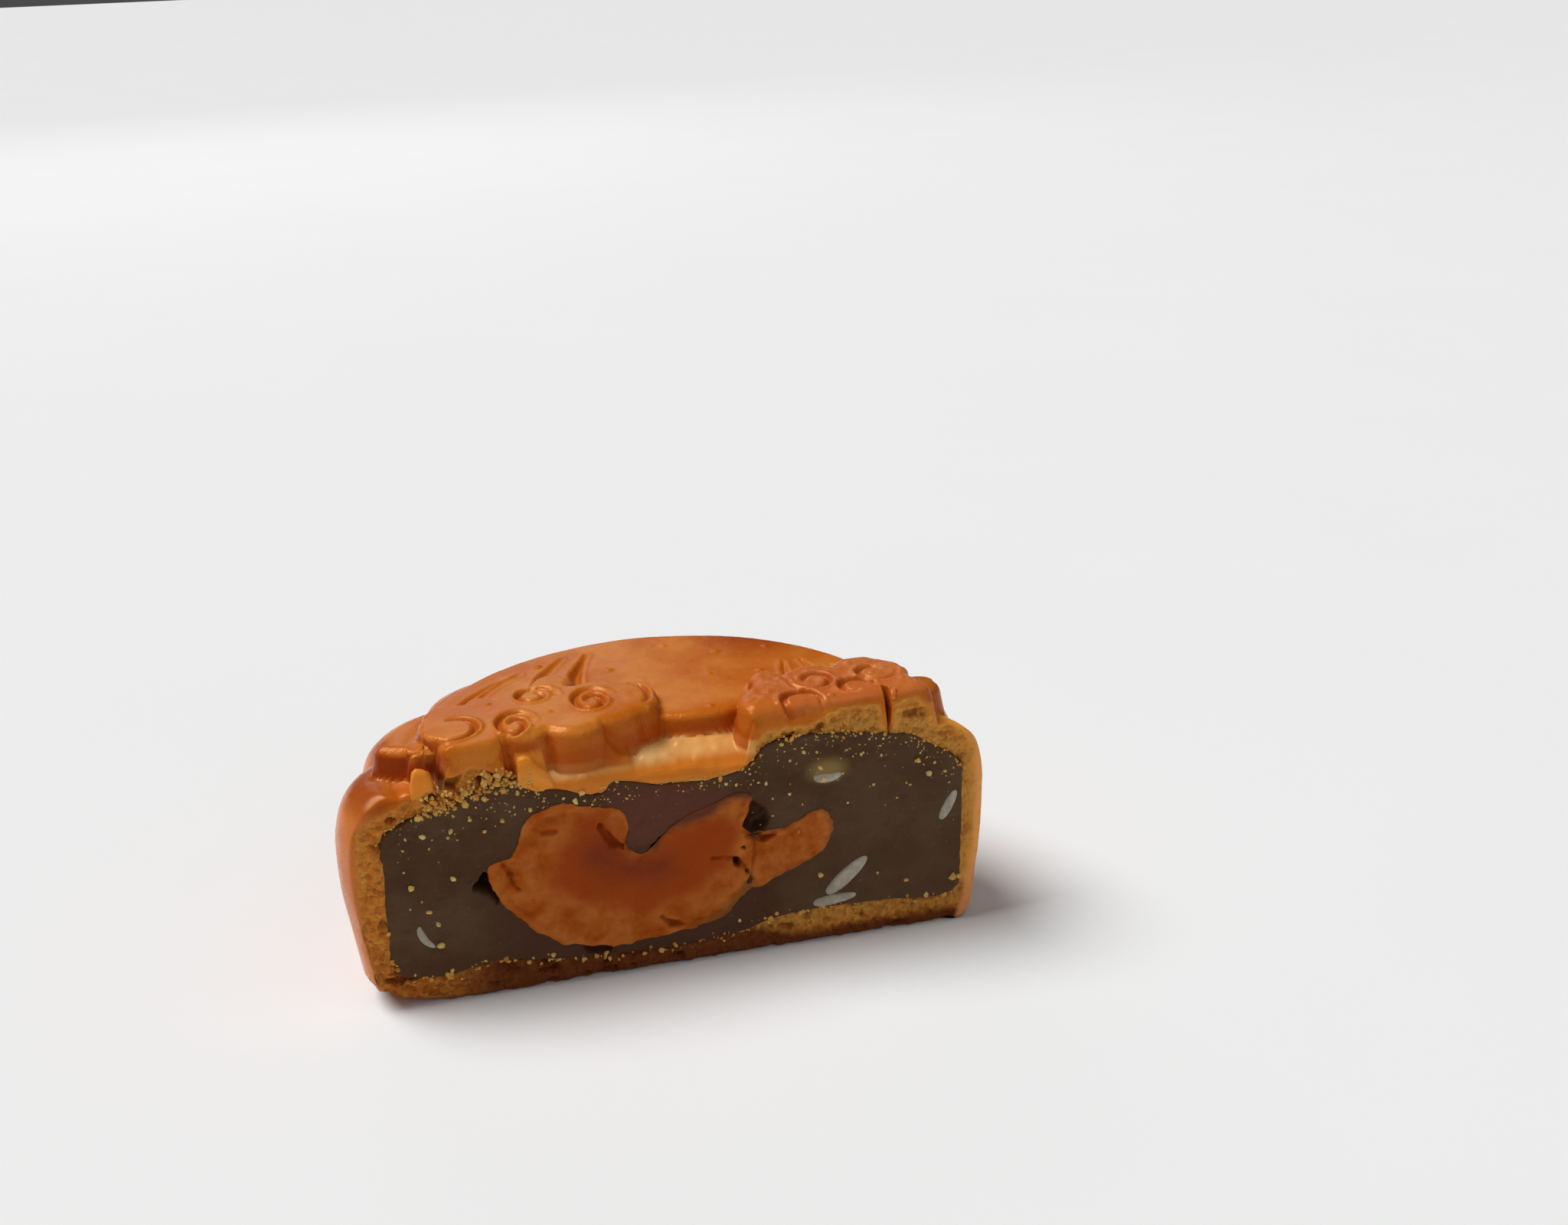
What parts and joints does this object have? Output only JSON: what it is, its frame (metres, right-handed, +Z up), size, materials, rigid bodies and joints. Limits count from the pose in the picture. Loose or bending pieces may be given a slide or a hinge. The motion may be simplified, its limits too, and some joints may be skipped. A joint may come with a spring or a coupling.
{
  "type": "pandan lotus mooncake, cut half",
  "caption": "Half of a baked pandan lotus mooncake with a scalloped crust, a moon and scrolled clouds on top, and a cut face that shows its salted egg yolk.",
  "frame": {"origin": "centre of the bounding box in x and y, at the underside of the base, which rests on z = 0", "axes": "+X runs along the cut face, towards the right of someone who looks at it; -Y looks straight out of the cut face; +Z is up, from the base to the moulded top"},
  "size_m": [0.0795, 0.0421, 0.0333],
  "materials": {
    "baked_crust": "satin",
    "lotus_paste": "satin",
    "egg_yolk": "satin"
  },
  "bodies": {
    "root": {"crust": "baked_crust", "lotus_paste": "lotus_paste", "egg_yolk": "egg_yolk", "yolk_fragment": "egg_yolk"}
  },
  "joints": []
}
